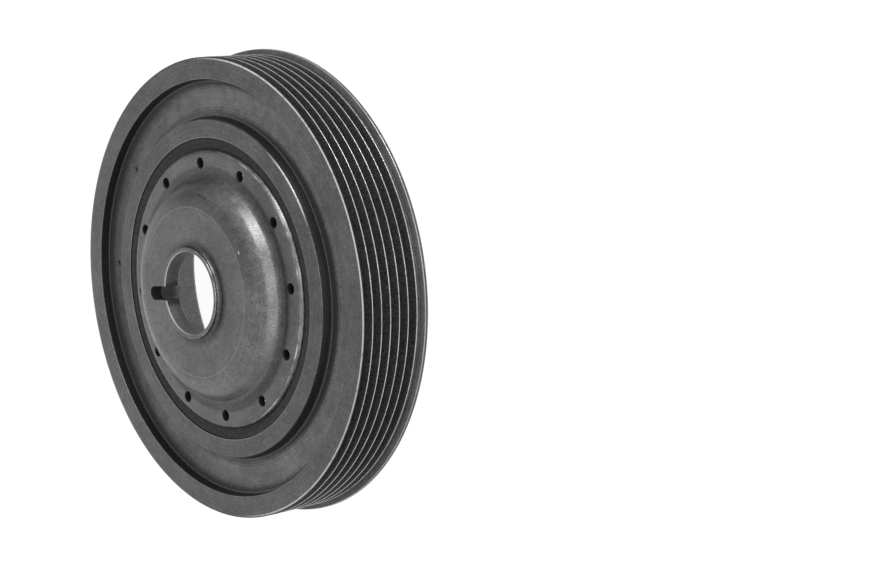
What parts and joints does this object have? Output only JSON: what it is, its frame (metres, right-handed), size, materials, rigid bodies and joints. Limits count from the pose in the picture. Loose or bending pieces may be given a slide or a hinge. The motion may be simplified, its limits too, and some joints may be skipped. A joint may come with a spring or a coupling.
{
  "type": "crankshaft pulley",
  "caption": "Crankshaft pulley and torsional damper: a grooved iron ring carried on a domed steel hub by a rubber ring.",
  "frame": {"origin": "centre of the back plane of the rim, which the pulley rests on", "axes": "+Z along the axis of rotation, out of the front towards the crankshaft bolt's head; -X through the keyway"},
  "size_m": [0.1554, 0.1554, 0.0349],
  "materials": {
    "cast_iron_ring": "turned cast iron with a thin dark coating, satin",
    "black_rubber": "matt black rubber",
    "forged_steel_hub": "dark phosphated forged steel, bare and bright on its worn edges, satin"
  },
  "bodies": {
    "root": {"pulley_ring": "cast_iron_ring", "damper_rubber": "black_rubber", "hub": "forged_steel_hub"}
  },
  "joints": []
}
